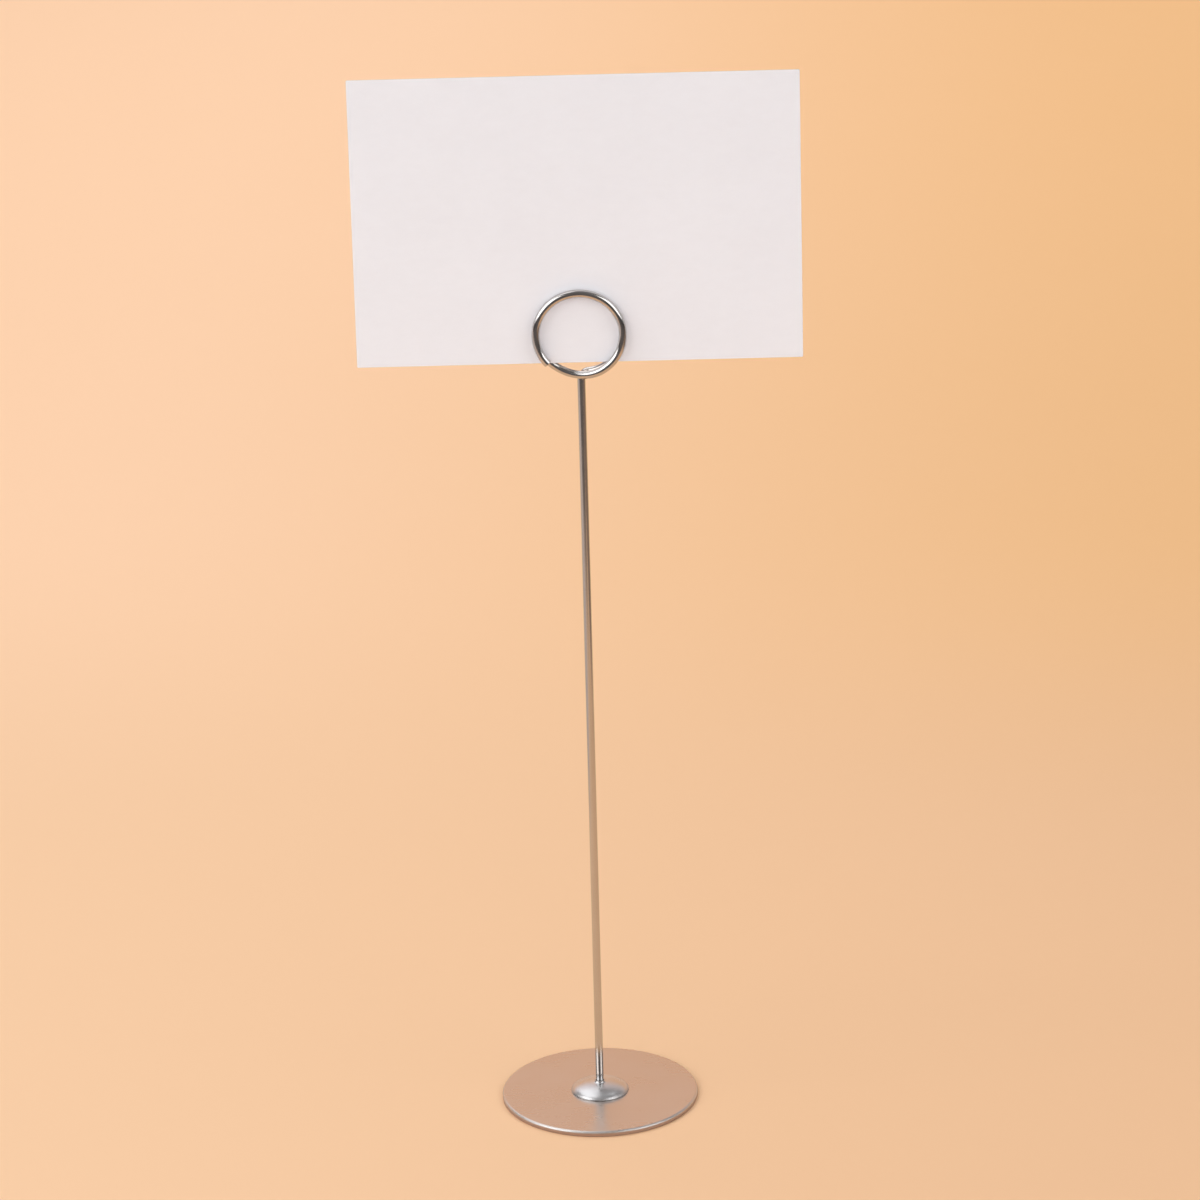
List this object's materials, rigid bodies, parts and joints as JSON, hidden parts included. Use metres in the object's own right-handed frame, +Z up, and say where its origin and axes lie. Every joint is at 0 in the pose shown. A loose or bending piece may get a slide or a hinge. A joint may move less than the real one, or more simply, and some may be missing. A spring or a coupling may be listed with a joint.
{
  "type": "table card holder",
  "caption": "Round-based upright wire stand whose top is wound into a double ring that pinches a plain card upright, for table numbers, menus or place names.",
  "frame": {"origin": "middle of the base plate's underside, where the stand rests on the table", "axes": "+Z up along the stem; the card's front and the cut end of the ring face -Y; +X to the right of someone who reads the card"},
  "size_m": [0.1522, 0.07, 0.38],
  "materials": {
    "satin_steel": "satin, fine grain, bright rolled edge",
    "plain_steel": "plain, hidden",
    "polished_steel": "mirror polished",
    "wire_steel": "bright drawn wire",
    "card_stock": "blank matt card"
  },
  "bodies": {
    "stand": {"base_plate": "satin_steel", "lock_nut": "plain_steel", "dome_cap": "polished_steel", "clip_wire": "wire_steel"},
    "card": {"table_card": "card_stock"}
  },
  "joints": [
    {"name": "card_lift", "type": "slide", "parent": "stand", "child": "card", "axis": [0, 0, 1], "range_m": [0, 0.04]}
  ]
}
